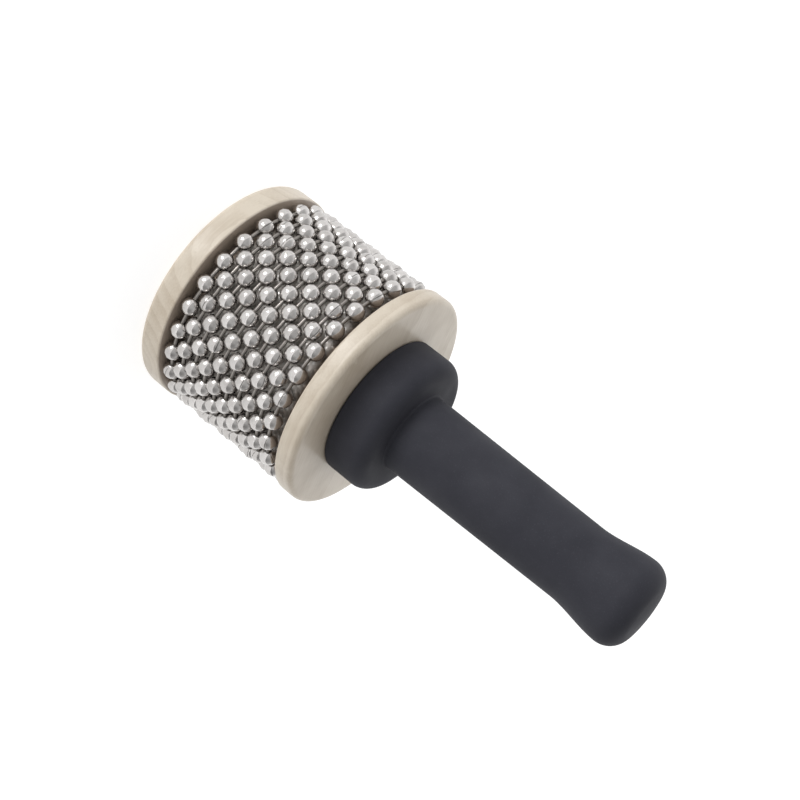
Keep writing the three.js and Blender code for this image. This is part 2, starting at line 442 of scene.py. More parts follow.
@dataclass(frozen=True)
class PaleWood:
    """Pale close-grained wood under a satin seal, with its grain across the disc and painted shade on the
    inner face that the beads shadow.
    """

    name: str
    turn: float = 0.0
    shift: tuple[float, float, float] = (0.0, 0.0, 0.0)
    early: tuple[float, float, float] = (0.57, 0.505, 0.415)
    late: tuple[float, float, float] = (0.43, 0.36, 0.275)
    pore: tuple[float, float, float] = (0.32, 0.25, 0.19)
    # painted shade: flat brown for the inner face, standing in for the shadow beside the beads
    inner_face_shade: tuple[float, float, float] = (0.37, 0.30, 0.24)
    ring_scale: float = 80.0

    def material(self, shade_start: float, face: float) -> bpy.types.Material:
        """Builds growth rings about a far-off pith, fibres, pores, slow clouds, and painted shade on the
        inner face beside the beads.

        Args:
            shade_start: Height where the painted shade begins, just short of the inner face, in millimetres.
            face: Height of the inner face, where the painted shade is full.

        Returns:
            The wood's material.
        """
        g = Graph(self.name)
        place = g.mapped((1, 1, 1), self.turn, self.shift)
        slow = g.mapped((6, 30, 30), self.turn, self.shift)
        drift = g.node("TexNoise", {"Vector": slow, "Scale": 1.0, "Detail": 2})
        sway = {0: drift.outputs["Color"], 1: (0.0, 0.010, 0.010), 2: place}
        bent = g.node("VectorMath", sway, operation="MULTIPLY_ADD").outputs[0]
        waves = {"Vector": bent, "Scale": self.ring_scale, "Distortion": 1.5, "Detail": 2.0}
        waves["Detail Scale"] = 1.5
        shape = {"wave_type": "RINGS", "rings_direction": "X", "wave_profile": "SAW"}
        rings = g.node("TexWave", waves, **shape).outputs["Fac"]
        fibre = g.noise(g.mapped((60, 1500, 1500), self.turn, self.shift), 1.0, 4, 0.6)
        clouds = g.noise(place, 40.0, 3, 0.6)
        pores = g.spread(g.noise(g.mapped((160, 2600, 2600), self.turn, self.shift), 1.0, 2, 0.4), 0.66, 0.74)
        late = g.math("ADD", g.spread(rings, 0.35, 1.0, 0.0, 0.4), g.spread(fibre, 0.3, 0.75, -0.15, 0.3))
        late = g.math("ADD", late, g.spread(clouds, 0.3, 0.7, -0.4, 0.65))
        colour = g.mix(g.spread(late, 0.0, 1.0), self.early, self.late)
        colour = g.mix(g.math("MULTIPLY", pores, 0.3), colour, self.pore)
        height = g.node("SeparateXYZ", {"Vector": g.place}).outputs["Z"]
        # painted shade: the inner face and spigot are darkened, standing in for the shadow between the beads
        # and the disc
        colour = g.mix(g.spread(height, shade_start * MM, face * MM), colour, self.inner_face_shade)
        rough = g.spread(fibre, 0.25, 0.75, 0.5, 0.65)
        relief = g.math("SUBTRACT", g.math("MULTIPLY", fibre, 0.5), pores)
        normal = g.bump(relief, 0.06, 0.3)
        g.dress(Base_Color=colour, Roughness=rough, Normal=normal)
        return g.dress(Coat_Weight=0.5, Coat_Roughness=0.28)


@dataclass(frozen=True)
class DrumBoard:
    """Bare brown wood fibre board of the hidden drum tube."""

    name: str = "drum_board"
    light: tuple[float, float, float] = (0.42, 0.31, 0.2)
    dark: tuple[float, float, float] = (0.27, 0.185, 0.11)

    def material(self) -> bpy.types.Material:
        """Pressed fibres in two sizes.

        Returns:
            The material.
        """
        g = Graph(self.name)
        flecks = g.noise(g.mapped((1, 1, 0.5)), 900.0, 4, 0.65)
        clouds = g.noise(g.place, 60.0, 2, 0.5)
        colour = g.mix(g.spread(g.math("ADD", flecks, clouds), 0.7, 1.3), self.light, self.dark)
        rough = g.spread(flecks, 0.3, 0.7, 0.75, 0.92)
        return g.dress(Base_Color=colour, Roughness=rough, Normal=g.bump(flecks, 0.1, 0.4))


@dataclass(frozen=True)
class RaspSteel:
    """Embossed stainless sheet: rubbed bright on its peaks, dull between them, with painted shade beside the
    discs.
    """

    name: str = "rasp_steel"
    peak: tuple[float, float, float] = (0.90, 0.88, 0.86)
    valley: tuple[float, float, float] = (0.72, 0.68, 0.64)
    # painted shade: dark brown beside the discs, standing in for the shadow of the discs and end loops
    edge_shade: tuple[float, float, float] = (0.19, 0.155, 0.125)
    edge_shade_start: float = 6.5
    edge_shade_full: float = 4.0

    def material(self, bottom: float, top: float) -> bpy.types.Material:
        """Builds the rubbed peaks from the mesh's relief attribute, and the painted shade beside the discs
        from the height.

        Args:
            bottom: Height of the sheet's lower edge, in millimetres.
            top: Height of its upper edge.

        Returns:
            The sheet's material.
        """
        g = Graph(self.name)
        relief = g.node("Attribute", {}, attribute_name="relief").outputs["Fac"]
        smear = g.noise(g.mapped((300, 300, 60)), 1.0, 3, 0.6)
        worn = g.spread(g.math("ADD", relief, g.spread(smear, 0.3, 0.7, -0.25, 0.25)), 0.2, 0.9)
        colour = g.mix(worn, self.valley, self.peak)
        height = g.node("SeparateXYZ", {"Vector": g.place}).outputs["Z"]
        middle, half = (top + bottom) / 2 * MM, (top - bottom) / 2
        # painted shade: the sheet darkens within a few millimetres of either disc, where the discs and end
        # loops shadow it
        from_middle = g.math("ABSOLUTE", g.math("SUBTRACT", height, middle))
        edge_shade = g.spread(from_middle, (half - self.edge_shade_start) * MM, (half - self.edge_shade_full) * MM)
        colour = g.mix(edge_shade, colour, self.edge_shade)
        rough = g.spread(worn, 0.0, 1.0, 0.62, 0.32)
        scratch = g.noise(g.mapped((4000, 4000, 500)), 1.0, 2, 0.5)
        return g.dress(Base_Color=colour, Metallic=1.0, Roughness=rough, Normal=g.bump(scratch, 0.02, 0.3))


@dataclass(frozen=True)
class BeadSteel:
    """Polished steel of the ball chain, a little different from bead to bead, with rolled seams."""

    name: str = "bead_steel"
    bright: tuple[float, float, float] = (0.66, 0.64, 0.625)
    dull: tuple[float, float, float] = (0.48, 0.46, 0.445)
    wire: tuple[float, float, float] = (0.30, 0.28, 0.26)
    seam_width: float = 0.012

    def material(self) -> bpy.types.Material:
        """Builds the seam from the UV map, the tone and the round normal from attributes.

        The surface is wire where the outward attribute is shorter than 1 mm, and ball where it passes 2 mm.

        Returns:
            The chain's material.
        """
        g = Graph(self.name)
        tone = g.node("Attribute", {}, attribute_name="tone").outputs["Fac"]
        uv = g.node("UVMap", {}, uv_map="UVMap").outputs[0]
        around_bead = g.node("SeparateXYZ", {"Vector": uv}).outputs[0]
        turn = g.math("FRACT", around_bead)
        from_seam = g.math("ABSOLUTE", g.math("SUBTRACT", turn, 0.5))
        seam = g.spread(from_seam, 0.5 - self.seam_width, 0.5 - self.seam_width / 3)
        film = g.noise(g.mapped((1, 1, 1)), 420.0, 3, 0.6)
        dull = g.math("ADD", g.math("MULTIPLY", tone, 0.6), g.spread(film, 0.35, 0.75, -0.1, 0.5))
        colour = g.mix(g.spread(dull, 0.0, 1.0), self.bright, self.dull)
        colour = g.mix(g.math("MULTIPLY", seam, 0.75), colour, (0.05, 0.045, 0.04))
        outward = g.node("Attribute", {}, attribute_name="outward").outputs["Vector"]
        reach = g.node("VectorMath", {0: outward}, operation="LENGTH").outputs["Value"]
        wire = g.spread(reach, 1.0, 2.0, 1.0, 0.0)
        colour = g.mix(wire, colour, self.wire)
        rough = g.math("ADD", g.spread(dull, 0.0, 1.0, 0.13, 0.22), g.math("MULTIPLY", wire, 0.25))
        scuffs = g.noise(g.mapped((1, 1, 1)), 2600.0, 2, 0.5)
        spaces = {"vector_type": "NORMAL", "convert_from": "OBJECT", "convert_to": "WORLD"}
        turned = g.node("VectorTransform", {"Vector": outward}, **spaces).outputs[0]
        round_normal = g.node("VectorMath", {0: turned}, operation="NORMALIZE").outputs[0]
        relief = g.math("SUBTRACT", g.math("MULTIPLY", scuffs, 0.2), seam)
        normal = g.bump(relief, 0.05, 0.5, round_normal)
        return g.dress(Base_Color=colour, Metallic=1.0, Roughness=rough, Normal=normal)


@dataclass(frozen=True)
class SoftBlack:
    """Matte rubbery skin of the handle, with a fine moulded grain and a trace of dust."""

    name: str = "soft_black"
    base: tuple[float, float, float] = (0.0235, 0.024, 0.0315)
    dusty: tuple[float, float, float] = (0.038, 0.0385, 0.049)

    def material(self) -> bpy.types.Material:
        """Builds the grain, its paler specks and the slow change of sheen.

        Returns:
            The handle skin's material.
        """
        g = Graph(self.name)
        cells = {"Vector": g.place, "Scale": 2200.0, "Randomness": 1.0}
        grain = g.node("TexVoronoi", cells).outputs["Distance"]
        fine = g.noise(g.place, 3800.0, 2, 0.5)
        handled = g.noise(g.place, 45.0, 3, 0.55)
        speck = g.spread(g.noise(g.place, 1500.0, 2, 0.7), 0.58, 0.72)
        dust = g.math("ADD", g.spread(handled, 0.3, 0.75, 0.0, 0.5), g.math("MULTIPLY", speck, 0.5))
        colour = g.mix(g.spread(dust, 0.0, 1.0), self.base, self.dusty)
        rough = g.spread(handled, 0.3, 0.7, 0.8, 0.68)
        relief = g.math("ADD", g.spread(grain, 0.0, 0.6, 1.0, 0.0), g.math("MULTIPLY", fine, 0.5))
        normal = g.bump(relief, 0.05, 0.3)
        return g.dress(Base_Color=colour, Roughness=rough, Normal=normal, Specular_IOR_Level=0.25)


@dataclass(frozen=True)
class CorePlastic:
    """Stiff black glass-filled plastic of the hidden handle core."""

    name: str = "core_plastic"
    base: tuple[float, float, float] = (0.018, 0.018, 0.019)
    fibre: tuple[float, float, float] = (0.045, 0.045, 0.046)

    def material(self) -> bpy.types.Material:
        """Pale fibres just under the surface.

        Returns:
            The material.
        """
        g = Graph(self.name)
        strands = g.noise(g.mapped((700, 700, 120)), 1.0, 3, 0.6)
        colour = g.mix(g.spread(strands, 0.5, 0.75), self.base, self.fibre)
        rough = g.spread(strands, 0.3, 0.7, 0.42, 0.6)
        return g.dress(Base_Color=colour, Roughness=rough, Normal=g.bump(strands, 0.03, 0.3))


@dataclass(frozen=True)
class ZincPlate:
    """Bright zinc plating on the fasteners, faintly clouded and tinted."""

    name: str = "zinc_plate"
    clear: tuple[float, float, float] = (0.62, 0.64, 0.66)
    tinted: tuple[float, float, float] = (0.52, 0.52, 0.46)

    def material(self) -> bpy.types.Material:
        """Soft clouds and fine turning marks.

        Returns:
            The material.
        """
        g = Graph(self.name)
        clouds = g.noise(g.place, 260.0, 3, 0.6)
        marks = g.noise(g.mapped((300, 300, 6000)), 1.0, 2, 0.5)
        colour = g.mix(g.spread(clouds, 0.35, 0.7), self.clear, self.tinted)
        rough = g.spread(clouds, 0.3, 0.7, 0.26, 0.42)
        return g.dress(Base_Color=colour, Metallic=1.0, Roughness=rough, Normal=g.bump(marks, 0.02, 0.3))


# ---- Pieces ----


def add_piece(mesh: bpy.types.Mesh, finish: bpy.types.Material, body: str, node: str) -> bpy.types.Object:
    """Shows a mesh in place of a CAD node, on that node's body and with its material slot.

    Args:
        mesh: The finished mesh, in place.
        finish: Its material.
        body: The CAD body that it rides on.
        node: The CAD node that it stands for.

    Returns:
        The new object.
    """
    piece = bpy.data.objects.new(mesh.name, mesh)
    bpy.context.scene.collection.objects.link(piece)
    mesh.materials.append(finish)
    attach(piece, body)
    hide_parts(node)
    log.info("%s: %d faces, stands for %s", piece.name, len(mesh.polygons), node)
    return piece


def turned_piece(name: str, profile: np.ndarray, sides: int) -> bpy.types.Mesh:
    """A body of revolution from a profile that closes on itself or ends on the axis at both ends.

    Args:
        name: The mesh's name.
        profile: Rows of radius and height.
        sides: How many sides it has.

    Returns:
        The closed mesh.
    """
    closes = bool(profile[0, 0] > 0)
    return new_mesh(name, revolve(profile, sides), grid_faces(len(profile), sides, closes))


class DiscSide(Enum):
    """Which end of the drum a disc closes."""

    FAR = "far"
    NEAR = "near"


@dataclass
class EndDisc:
    """A wooden end disc: rounded rim, spigot into the drum tube, bolt hole and its side's own holes."""

    side: DiscSide
    finish: PaleWood
    outer_round: float = 2.5
    inner_round: float = 0.8
    # how far short of the inner face the painted shade begins
    shade_lip: float = 0.12
    bolt_hole: float = 4.5
    counterbore: float = 9.5
    counterbore_depth: float = 10.7
    sides: int = 192
    round_parts: int = 8

    def rim(self) -> tuple[float, float, float, float]:
        """Reads the disc's sizes from the frame.

        Returns:
            The disc's radius and thickness, its spigot's radius, and the height of disc and spigot together.
        """
        disc, tube = Span.of(f"{self.side.value}_end_disc"), Span.of("drum_tube")
        beyond_tube = tube.bottom - disc.bottom if self.side is DiscSide.FAR else disc.top - tube.top
        return disc.radius, beyond_tube - FIT_GAP, tube.radius - TUBE_WALL - FIT_GAP, disc.top - disc.bottom

    def profile(self) -> np.ndarray:
        """The disc lying on its outer face at height 0, with its spigot upwards.

        Returns:
            Rows of radius and height that close on themselves.
        """
        radius, thickness, spigot, whole = self.rim()
        outer, inner = self.outer_round, self.inner_round
        sunk = self.side is DiscSide.FAR
        line = Profile((self.counterbore if sunk else self.bolt_hole) + 0.4, 0.0)
        line.line(radius - outer, 0.0, 6).arc(radius - outer, outer, outer, -90, 0, self.round_parts)
        line.line(radius, thickness - inner, 2)
        line.arc(radius - inner, thickness - inner, inner, 0, 90, self.round_parts)
        line.line(spigot, thickness, 3).line(spigot, whole - 0.8, 2).line(spigot - 0.8, whole)
        line.line(self.bolt_hole, whole, 3)
        if sunk:
            line.line(self.bolt_hole, self.counterbore_depth, 2)
            line.line(self.counterbore, self.counterbore_depth, 2).line(self.counterbore, 0.4, 3)
        else:
            line.line(self.bolt_hole, 0.4, 3)
        return line.array()

    def build(self) -> bpy.types.Object:
        """Turns the disc, stands it in place, and drills the near one for its dowels.

        Returns:
            The disc.
        """
        node = f"{self.side.value}_end_disc"
        mesh = turned_piece(f"{self.side.value}_disc_wood", self.profile(), self.sides)
        face = self.rim()[1]
        # the painted shade on the wood begins a little short of the inner face
        shade_start = face - self.shade_lip
        if self.side is DiscSide.NEAR:
            top = Span.of(node).top
            mesh.transform(Matrix.Translation((0, 0, top * MM)) @ Matrix.Rotation(math.pi, 4, "X"))
            mesh = drilled(mesh, ["dowel_pin_1", "dowel_pin_2"])
            shade_start, face = top - shade_start, top - face
        return add_piece(mesh, self.finish.material(shade_start, face), HANDLE_BODY, node)


def drilled(mesh: bpy.types.Mesh, pins: Sequence[str]) -> bpy.types.Mesh:
    """Cuts a running hole for each pin, with a clearance all round.

    Args:
        mesh: The mesh to cut.
        pins: CAD nodes of upright pins.

    Returns:
        The cut mesh.
    """
    scene = bpy.context.scene.collection
    name, mesh.name = mesh.name, mesh.name + "_blank"
    body = bpy.data.objects.new(mesh.name, mesh)
    scene.objects.link(body)
    drills = []
    for pin in pins:
        low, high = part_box(pin)
        centre = (low + high) / 2
        radius = (high.x - low.x) / 2 / MM + FIT_GAP
        bottom, top = low.z / MM - FIT_GAP, high.z / MM + 1
        line = Profile(0, bottom).line(radius, bottom).line(radius, top).line(0, top)
        drill = bpy.data.objects.new("drill", turned_piece("drill", line.array(), 48))
        drill.data.transform(Matrix.Translation((centre.x, centre.y, 0)))
        scene.objects.link(drill)
        cut = body.modifiers.new("hole", "BOOLEAN")
        cut.operation, cut.solver, cut.object = "DIFFERENCE", "EXACT", drill
        drills.append(drill)
    bpy.context.view_layer.update()
    result = bpy.data.meshes.new_from_object(body.evaluated_get(bpy.context.evaluated_depsgraph_get()))
    result.name = name
    for spent in [body, *drills]:
        bpy.data.objects.remove(spent)
    smooth(result)
    return result


@dataclass
class Drum:
    """What the bead loops run on: the hidden tube and the embossed rasp sheet lapped round it."""

    board: DrumBoard
    steel: RaspSteel
    sides: int = 192
    sheet_thickness: float = 0.5
    lap_angle: float = 12.0
    lap_gap: float = 0.1
    emboss_height: float = 0.45
    emboss_pitch: float = 3.6
    plain_border: float = 1.0
    border_fade: float = 1.5
    stations: int = 360
    rows: int = 96

    def tube(self) -> bpy.types.Object:
        """The plain tube, turned, with eased rims.

        Returns:
            The tube.
        """
        span = Span.of("drum_tube")
        inner, ease = span.radius - TUBE_WALL, 0.5
        line = Profile(inner, span.bottom + ease).line(inner + ease, span.bottom)
        line.line(span.radius - ease, span.bottom).line(span.radius, span.bottom + ease)
        line.line(span.radius, span.top - ease, 4).line(span.radius - ease, span.top)
        line.line(inner + ease, span.top).line(inner, span.top - ease).line(inner, span.bottom + 2 * ease, 4)
        mesh = turned_piece("drum_tube_board", line.array(), self.sides)
        return add_piece(mesh, self.board.material(), HANDLE_BODY, "drum_tube")

    def emboss(self, arc: np.ndarray, height: np.ndarray) -> np.ndarray:
        """Relief from 0 to 1: two crossing cosine waves, multiplied, make a diamond field of soft studs.

        Args:
            arc: Distance round the sheet.
            height: Distance along the drum.

        Returns:
            The relief at each point.
        """
        one = 0.5 + 0.5 * np.cos(2 * np.pi * (arc + height) / self.emboss_pitch)
        two = 0.5 + 0.5 * np.cos(2 * np.pi * (arc - height) / self.emboss_pitch)
        return one * two

    def sheet(self) -> bpy.types.Object:
        """Wraps the sheet: its radius climbs over its own start along the lap, and the studs stand on that.

        Returns:
            The rasp sheet.
        """
        span, tube = Span.of("rasp_sheet"), Span.of("drum_tube")
        start_radius = tube.radius + FIT_GAP
        full = 360 + self.lap_angle
        angle = np.linspace(0, full, self.stations + 1)[:, None]
        height = np.linspace(span.bottom, span.top, self.rows + 1)[None, :]
        step = np.clip((angle - 360 + self.lap_angle) / self.lap_angle, 0, 1)
        climb = (self.sheet_thickness + self.lap_gap) * step**2 * (3 - 2 * step)
        lapped = np.clip(np.minimum(angle, full - angle) / self.lap_angle - 0.9, 0, 1)
        from_edge = np.minimum(height - span.bottom, span.top - height)
        border = np.clip((from_edge - self.plain_border) / self.border_fade, 0, 1)
        studs = self.emboss(np.radians(angle) * start_radius, height) * lapped * border
        inner = start_radius + climb + self.emboss_height * studs
        turn = np.radians(angle) + 0 * height
        skins = []
        for radius, level in ((inner + self.sheet_thickness, height), (inner[:, ::-1], height[:, ::-1])):
            skins.append(np.stack([radius * np.cos(turn), radius * np.sin(turn), level + 0 * turn], -1))
        points = np.concatenate(skins, 1)
        columns = points.shape[1]
        faces = grid_faces(self.stations + 1, columns, False, True)
        faces += self.end_faces(0, columns) + self.end_faces(self.stations * columns, columns)
        mesh = bare_mesh("rasp_sheet_embossed", points, faces)
        store(mesh, "relief", np.concatenate([studs, studs[:, ::-1]], 1))
        turn_outwards(mesh)
        smooth(mesh)
        return add_piece(mesh, self.steel.material(span.bottom, span.top), HANDLE_BODY, "rasp_sheet")

    def end_faces(self, first: int, columns: int) -> list[list[int]]:
        """Closes a cut end of the sheet: quads from its outer edge to its inner edge.

        Args:
            first: Number of the end's first point.
            columns: Points round the sheet's section.

        Returns:
            The quads.
        """
        near = np.arange(columns // 2 - 1)
        far = columns - 1 - near
        return (first + np.stack([near, near + 1, far - 1, far], 1)).tolist()


@dataclass
class BeadLoops:
    """Loops of ball chain round the drum, each free to turn with its own body."""

    steel: BeadSteel
    bead: float = 7.9
    wire: float = 1.7
    wander: float = 0.3
    sag: float = 0.3
    mouth_angle: float = 21.0
    mouth_depth: float = 0.45
    first_angle: float = 12.0
    sides: int = 12
    bead_parts: int = 6

    def bead_line(self) -> np.ndarray:
        """One bead and the wire to the next, as rows of distance along the chain and radius about it.

        The bead is the circle arc R cos a, R sin a between its two mouths. At each mouth the line
        dips back to the wire.

        Returns:
            The line's points, without the next bead's first.
        """
        radius = self.bead / 2
        angle = np.radians(np.linspace(180 - self.mouth_angle, self.mouth_angle, self.bead_parts + 1))
        ball = np.stack([radius * np.cos(angle), radius * np.sin(angle)], 1)
        dip = radius * math.cos(math.radians(self.mouth_angle)) - self.mouth_depth
        wire = self.wire / 2
        return np.concatenate([[[-dip, wire]], ball, [[dip, wire]]])

    def chain(self, number: int, radius: float, height: float) -> bpy.types.Mesh:
        """One closed loop: the bead line repeated round the drum, as a tube of changing radius.

        A point lies at the bead's centre, plus its distance along the chain on the tangent there,
        plus the tube's radius on a circle between the outward direction and the axis. The loops share
        a slow wander in height, w (sin 2t + sin(3t + 1) / 2), and each bead sags inwards by its own amount.
        The outward attribute holds, in millimetres, the way from the bead's centre to each point of the
        ball, and from the chain's middle to each point of the wire.

        Args:
            number: The loop's number, from 1.
            radius: Distance of the beads' centres from the axis.
            height: Height of the loop.

        Returns:
            The loop's mesh, with its UV map, its tone and its outward directions.
        """
        chance = np.random.default_rng(SEED + number)
        line = self.bead_line()
        pitch = 2 * np.pi / BEADS_PER_LOOP
        stagger = pitch / 2 if number % 2 == 0 else 0.0
        turn = math.radians(self.first_angle) + stagger + pitch * np.arange(BEADS_PER_LOOP)
        turn = turn[:, None, None]
        level = height + self.wander * (np.sin(2 * turn) + 0.5 * np.sin(3 * turn + 1))
        centre = radius - self.sag * chance.random(BEADS_PER_LOOP)[:, None, None]
        round_wire = around(self.sides)[None, None, :]
        along, reach = line[None, :, :1], line[None, :, 1:]
        out = centre + reach * np.cos(round_wire)
        points = np.stack(
            [
                out * np.cos(turn) - along * np.sin(turn),
                out * np.sin(turn) + along * np.cos(turn),
                level + reach * np.sin(round_wire),
            ],
            -1,
        )
        on_ball = np.ones((1, len(line), 1))
        on_ball[:, [0, -1]] = 0.0
        lean = along * on_ball
        outward = np.stack(
            [
                reach * np.cos(round_wire) * np.cos(turn) - lean * np.sin(turn),
                reach * np.cos(round_wire) * np.sin(turn) + lean * np.cos(turn),
                reach * np.sin(round_wire) + 0 * turn,
            ],
            -1,
        )
        rows = BEADS_PER_LOOP * len(line)
        mesh = bare_mesh(f"bead_chain_{number:02d}", points, grid_faces(rows, self.sides, True))
        values = outward.astype(np.float32).ravel()
        mesh.attributes.new("outward", "FLOAT_VECTOR", "POINT").data.foreach_set("vector", values)
        self.mark(mesh, rows, len(line), chance)
        turn_outwards(mesh)
        mesh.polygons.foreach_set("use_smooth", np.ones(len(mesh.polygons), bool))
        mesh.set_sharp_from_angle(angle=math.radians(70))
        return mesh

    def mark(self, mesh: bpy.types.Mesh, rows: int, line_rows: int, chance: np.random.Generator) -> None:
        """Adds the UV map, rolled at random from bead to bead, and each bead's own tone.

        Args:
            mesh: The loop's mesh, its faces still in grid order.
            rows: Rows of its grid.
            line_rows: Rows that one bead takes.
            chance: The loop's own random numbers.
        """
        row = np.arange(rows)[:, None] + np.zeros((1, self.sides))
        column = np.arange(self.sides)[None, :] + np.zeros((rows, 1))
        roll = np.repeat(chance.random(BEADS_PER_LOOP), line_rows)[:, None]
        across = [(column + step) / self.sides + roll for step in (0, 1, 1, 0)]
        along = [(row % line_rows + step) / line_rows for step in (0, 0, 1, 1)]
        uv = np.stack([np.stack(across, -1), np.stack(along, -1)], -1).astype(np.float32)
        mesh.uv_layers.new(name="UVMap").data.foreach_set("uv", uv.ravel())
        store(mesh, "tone", np.repeat(chance.random(BEADS_PER_LOOP), line_rows * self.sides))

    def build(self) -> list[bpy.types.Object]:
        """Makes every loop at its height.

        Returns:
            The loops, from the far disc's side to the near one's.
        """
        finish = self.steel.material()
        loops = []
        for number in range(1, LOOP_COUNT + 1):
            node = f"bead_loop_{number:02d}"
            span = Span.of(node)
            mesh = self.chain(number, span.radius - self.bead / 2, (span.bottom + span.top) / 2)
            loops.append(add_piece(mesh, finish, f"loop_{number:02d}", node))
        return loops


@dataclass
class Handle:
    """The handle: its soft moulded cover, and the stiff core inside it."""

    skin: SoftBlack
    plastic: CorePlastic
    sides: int = 160
    collar_corner: float = 6.3
    collar_length: float = 18.8
    foot_round: float = 0.8
    grip_start: float = 17.3
    grip_end: float = 16.3
    flare: float = 18.9
    grip_end_height: float = 188.0
    flare_height: float = 211.0
    root_fillet: float = 0.9
    end_round: float = 9.3
    dome_angle: float = 80.0

    def outside(self) -> Profile:
        """Foot, wall and rounded shoulder of the collar, the tapered grip, the flare and the domed end.

        Returns:
            The line from the inner edge of the foot up to the axis.
        """
        cover, core = Span.of("handle_cover"), Span.of("handle_core")
        collar, foot, top = cover.radius, cover.bottom, cover.top
        collar_top = foot + self.collar_length
        shoulder, small = collar - self.collar_corner, self.foot_round
        line = Profile(core.radius + FIT_GAP, foot)
        line.line(collar - small, foot, 2).arc(collar - small, foot + small, small, -90, 0, 4)
        line.line(collar, collar_top - self.collar_corner, 4)
        line.arc(shoulder, collar_top - self.collar_corner, self.collar_corner, 0, 90, 16)
        root = self.grip_start + self.root_fillet
        line.line(root, collar_top, 4)
        line.arc(root, collar_top + self.root_fillet, self.root_fillet, 270, 180, 8)
        line.curve(self.grip(collar_top + self.root_fillet))
        edge = self.flare - self.end_round
        line.arc(edge, self.flare_height, self.end_round, 0, self.dome_angle, 20)
        start = edge + self.end_round * math.cos(math.radians(self.dome_angle))
        sphere = start / math.cos(math.radians(self.dome_angle))
        return line.arc(0.0, top - sphere, sphere, self.dome_angle, 90, 12)

    def grip(self, start: float) -> np.ndarray:
        """The grip's even taper, then its swell to the flare by the smooth step 3t^2 - 2t^3.

        Args:
            start: Height where the grip leaves the collar's fillet.

        Returns:
            Rows of radius and height.
        """
        taper_height = np.linspace(start, self.grip_end_height, 40)[1:]
        share = (taper_height - start) / (self.grip_end_height - start)
        taper = self.grip_start + (self.grip_end - self.grip_start) * share
        swell_height = np.linspace(self.grip_end_height, self.flare_height, 25)[1:]
        part = (swell_height - self.grip_end_height) / (self.flare_height - self.grip_end_height)
        swell = self.grip_end + (self.flare - self.grip_end) * part**2 * (3 - 2 * part)
        return np.stack([np.concatenate([taper, swell]), np.concatenate([taper_height, swell_height])], 1)

    def cover(self) -> bpy.types.Object:
        """The whole cover: up its outside, and down the hollow that holds the core.

        Returns:
            The cover.
        """
        core = Span.of("handle_core")
        stem, flange_top = CORE_STEM + FIT_GAP, core.bottom + CORE_FLANGE + FIT_GAP
        hollow = Profile(0.0, core.top + FIT_GAP).line(stem, core.top + FIT_GAP, 2)
        hollow.line(stem, flange_top, 6).line(core.radius + FIT_GAP, flange_top, 3)
        hollow.line(core.radius + FIT_GAP, core.bottom + 0.3, 3)
        line = np.concatenate([hollow.array(), self.outside().array()])
        mesh = turned_piece("handle_soft_cover", line, self.sides)
        return add_piece(mesh, self.skin.material(), HANDLE_BODY, "handle_cover")

    def build(self) -> None:
        """Makes the cover and dresses the CAD core."""
        self.cover()
        dress_node("handle_core", self.plastic.material())


def dress_node(node: str, finish: bpy.types.Material) -> None:
    """Gives a carried-over CAD node its material.

    Args:
        node: The node's name.
        finish: The material.
    """
    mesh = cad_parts[node].data
    mesh.materials.clear()
    mesh.materials.append(finish)
    log.info("%s: kept from the frame, dressed in %s", node, finish.name)


